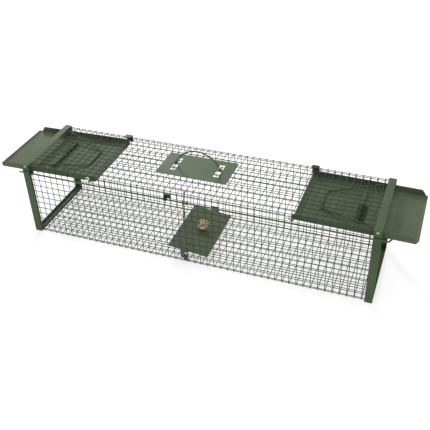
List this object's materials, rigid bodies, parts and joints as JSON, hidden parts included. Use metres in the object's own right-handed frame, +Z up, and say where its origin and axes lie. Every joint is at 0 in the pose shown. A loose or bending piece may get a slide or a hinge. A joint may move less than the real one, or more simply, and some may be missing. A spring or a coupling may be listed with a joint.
{
  "type": "live catch trap",
  "caption": "Long wire-mesh live catch cage with a drop door at each end, central treadle with lever and trigger rod, lock bails and a folding carry handle.",
  "frame": {"origin": "centre of the bounding box on the ground", "axes": "+X along the cage towards the right door, +Y across it away from the trigger rod, +Z up"},
  "size_m": [1.158, 0.2544, 0.278],
  "materials": {
    "mesh_wire": "powder coated, satin",
    "frame_sheet": "powder coated, satin",
    "door_sheet": "powder coated, satin",
    "green_rod": "powder coated, satin",
    "dark_steel": "dark coated steel",
    "zinc": "bright zinc plate",
    "walnut": "natural shell"
  },
  "bodies": {
    "root": {"floor_mesh": "mesh_wire", "roof_mesh": "mesh_wire", "front_mesh": "mesh_wire", "back_mesh": "mesh_wire", "left_front_post": "frame_sheet", "left_back_post": "frame_sheet", "left_bottom_bar": "frame_sheet", "left_top_bar": "frame_sheet", "right_front_post": "frame_sheet", "right_back_post": "frame_sheet", "right_bottom_bar": "frame_sheet", "right_top_bar": "frame_sheet", "handle_plate": "frame_sheet", "handle_lugs": "frame_sheet", "front_treadle_bracket": "frame_sheet", "back_treadle_bracket": "frame_sheet", "frame_rivets": "frame_sheet", "left_door_pivot": "green_rod", "right_door_pivot": "green_rod", "rod_guides": "dark_steel", "left_hinge_plate": "dark_steel", "right_hinge_plate": "dark_steel", "bracket_screws": "zinc", "left_pivot_ring": "zinc", "right_pivot_ring": "zinc"},
    "left_door_leaf": {"left_door": "door_sheet", "left_door_catch": "door_sheet", "left_catch_tongue": "dark_steel"},
    "right_door_leaf": {"right_door": "door_sheet", "right_door_catch": "door_sheet", "right_catch_tongue": "dark_steel"},
    "left_bail": {"left_lock_bail": "green_rod", "left_bail_caps": "zinc"},
    "right_bail": {"right_lock_bail": "green_rod", "right_bail_caps": "zinc"},
    "treadle": {"treadle_plate": "door_sheet", "treadle_straps": "door_sheet", "treadle_rivets": "door_sheet", "trip_lever": "green_rod", "walnut_bait": "walnut"},
    "trigger": {"trigger_rod": "green_rod", "rod_collars": "green_rod"},
    "handle": {"carry_handle": "green_rod"}
  },
  "joints": [
    {"name": "left_door_drop", "type": "hinge", "parent": "root", "child": "left_door_leaf", "pos_m": [-0.28, 0.0048, 0.213], "axis": [0, -1, 0], "range_deg": [0, 40]},
    {"name": "right_door_drop", "type": "hinge", "parent": "root", "child": "right_door_leaf", "pos_m": [0.28, 0.0048, 0.213], "axis": [0, 1, 0], "range_deg": [0, 40]},
    {"name": "left_bail_drop", "type": "hinge", "parent": "root", "child": "left_bail", "pos_m": [-0.485, 0.0048, 0.2209], "axis": [0, 1, 0], "range_deg": [0, 12]},
    {"name": "right_bail_drop", "type": "hinge", "parent": "root", "child": "right_bail", "pos_m": [0.485, 0.0048, 0.2209], "axis": [0, -1, 0], "range_deg": [0, 12]},
    {"name": "treadle_tip", "type": "hinge", "parent": "root", "child": "treadle", "pos_m": [-0.017, 0.0048, 0.023], "axis": [0, 1, 0], "range_deg": [-9, 0]},
    {"name": "trigger_slide", "type": "slide", "parent": "root", "child": "trigger", "axis": [1, 0, 0], "range_m": [-0.0286, 0]},
    {"name": "handle_fold", "type": "hinge", "parent": "root", "child": "handle", "pos_m": [-0.022, 0.0194, 0.2325], "axis": [1, 0, 0], "range_deg": [-85, 85]}
  ],
  "couplings": [
    {"joint": "left_bail_drop", "follows": "left_door_drop", "ratio": 0.26},
    {"joint": "right_bail_drop", "follows": "right_door_drop", "ratio": 0.26},
    {"joint": "trigger_slide", "follows": "treadle_tip", "m_per_rad": 0.1819}
  ]
}
